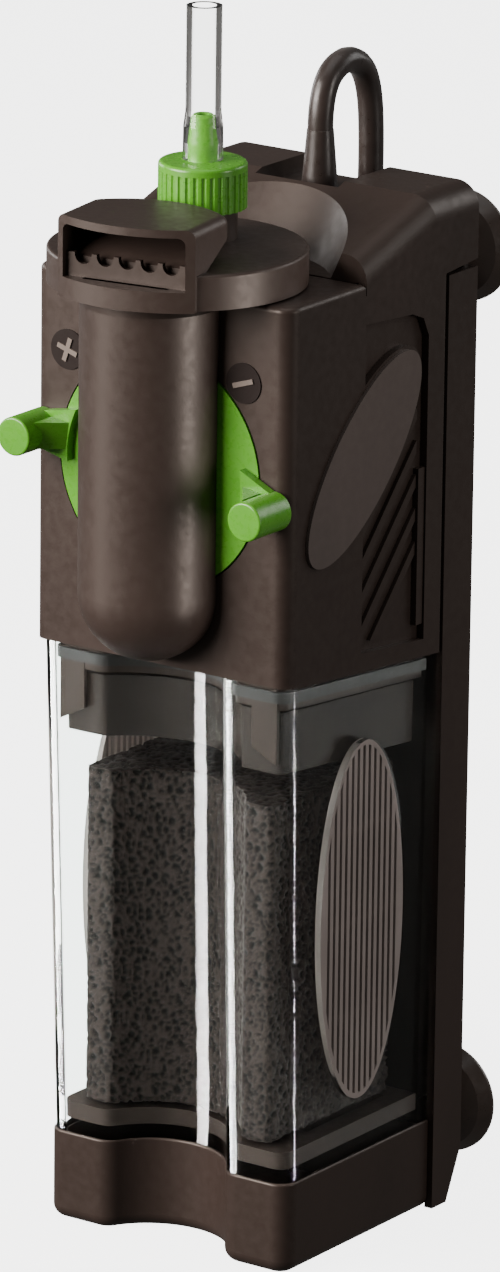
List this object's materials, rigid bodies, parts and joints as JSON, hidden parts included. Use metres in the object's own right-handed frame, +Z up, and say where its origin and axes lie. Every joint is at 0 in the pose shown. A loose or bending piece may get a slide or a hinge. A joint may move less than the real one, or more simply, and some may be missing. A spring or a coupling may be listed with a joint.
{
  "type": "internal power filter",
  "caption": "Upright internal aquarium filter with pump head, swivel outlet, flow dial, clear foam canister, base tray and suction-cup bracket.",
  "frame": {"origin": "on the underside of the base tray, under the middle of the body", "axes": "+Z up, -Y towards the water outlet, +Y towards the glass"},
  "size_m": [0.1521, 0.211, 0.3296],
  "materials": {
    "black_plastic": "satin, fine grain",
    "badge_grey": "satin",
    "icon_dark": "satin",
    "icon_light": "satin",
    "rubber_black": "matt",
    "cup_rubber": "soft satin, smoky",
    "lead_rubber": "satin",
    "pin_metal": "nickel plated",
    "inner_plastic": "moulded",
    "resin": "cast",
    "core_steel": "laminated sheet",
    "coil_copper": "enamelled wire",
    "shaft_ceramic": "ground ceramic",
    "magnet": "sintered",
    "green_plastic": "satin gloss",
    "hose_clear": "clear flexible",
    "clear_plastic": "clear",
    "frosted_plastic": "frosted",
    "smoke_plastic": "smoky clear",
    "foam_black": "open-cell foam"
  },
  "bodies": {
    "pump_head": {"pump_housing": "black_plastic", "side_louvres": "black_plastic", "side_badges": "badge_grey", "deck_plate": "black_plastic", "rear_cover": "black_plastic", "outlet_duct": "black_plastic", "riser_box": "black_plastic", "icon_discs": "icon_dark", "icon_marks": "icon_light", "locking_collar": "black_plastic", "collar_seal": "rubber_black", "locking_tabs": "black_plastic", "guide_rail": "black_plastic", "pump_chamber": "inner_plastic", "impeller_cover": "inner_plastic", "inlet_tube": "inner_plastic", "rotor_can": "inner_plastic", "stator_core": "core_steel", "stator_coil": "coil_copper", "potting_resin": "resin", "motor_case": "inner_plastic", "rotor_shaft": "shaft_ceramic", "shaft_bushes": "rubber_black", "dial_pivot": "core_steel", "strain_relief": "lead_rubber", "mains_lead": "lead_rubber", "lead_coil": "lead_rubber", "lead_tail": "lead_rubber", "plug_relief": "lead_rubber", "plug_body": "lead_rubber", "plug_pins": "pin_metal"},
    "swivel_outlet": {"swivel_disc": "black_plastic", "outlet_hood": "black_plastic", "outlet_comb": "black_plastic", "swivel_spigot": "black_plastic", "spigot_seal": "rubber_black", "air_port": "black_plastic"},
    "air_valve": {"air_cap": "green_plastic", "hose_nipple": "green_plastic", "air_hose": "hose_clear", "needle_stem": "green_plastic"},
    "dial": {"flow_dial": "green_plastic", "dial_pins": "green_plastic"},
    "rotor": {"rotor_magnet": "magnet", "impeller": "inner_plastic"},
    "filter_canister": {"canister": "clear_plastic", "intake_grille_right": "frosted_plastic", "intake_grille_left": "frosted_plastic", "foam_support": "black_plastic", "base_tray": "black_plastic"},
    "filter_cartridge": {"filter_foam": "foam_black", "basket_rim": "smoke_plastic"},
    "bracket": {"wall_bracket": "black_plastic", "suction_cup_right_low": "cup_rubber", "suction_cup_left_low": "cup_rubber", "suction_cup_right_top": "cup_rubber", "suction_cup_left_top": "cup_rubber"}
  },
  "joints": [
    {"name": "outlet_swivel", "type": "hinge", "parent": "pump_head", "child": "swivel_outlet", "pos_m": [0, -0.0345, 0.265], "axis": [0, 0, 1], "range_deg": [-90, 90]},
    {"name": "air_cap_turn", "type": "hinge", "parent": "swivel_outlet", "child": "air_valve", "pos_m": [0, -0.024, 0.283], "axis": [0, 0, 1], "range_deg": [-135, 135]},
    {"name": "dial_turn", "type": "hinge", "parent": "pump_head", "child": "dial", "pos_m": [0, -0.0415, 0.2125], "axis": [0, 1, 0], "range_deg": [-33, 17]},
    {"name": "rotor_spin", "type": "hinge", "parent": "pump_head", "child": "rotor", "pos_m": [0, 0.004, 0.21], "axis": [0, 0, 1], "continuous": true},
    {"name": "canister_drop", "type": "slide", "parent": "pump_head", "child": "filter_canister", "axis": [0, 0, 1], "range_m": [-0.12, 0]},
    {"name": "cartridge_lift", "type": "slide", "parent": "filter_canister", "child": "filter_cartridge", "axis": [0, 0, 1], "range_m": [0, 0.06]},
    {"name": "bracket_slide", "type": "slide", "parent": "pump_head", "child": "bracket", "axis": [0, 0, 1], "range_m": [-0.08, 0]}
  ],
  "couplings": [
    {"joint": "cartridge_lift", "follows": "canister_drop", "ratio": -0.5}
  ]
}
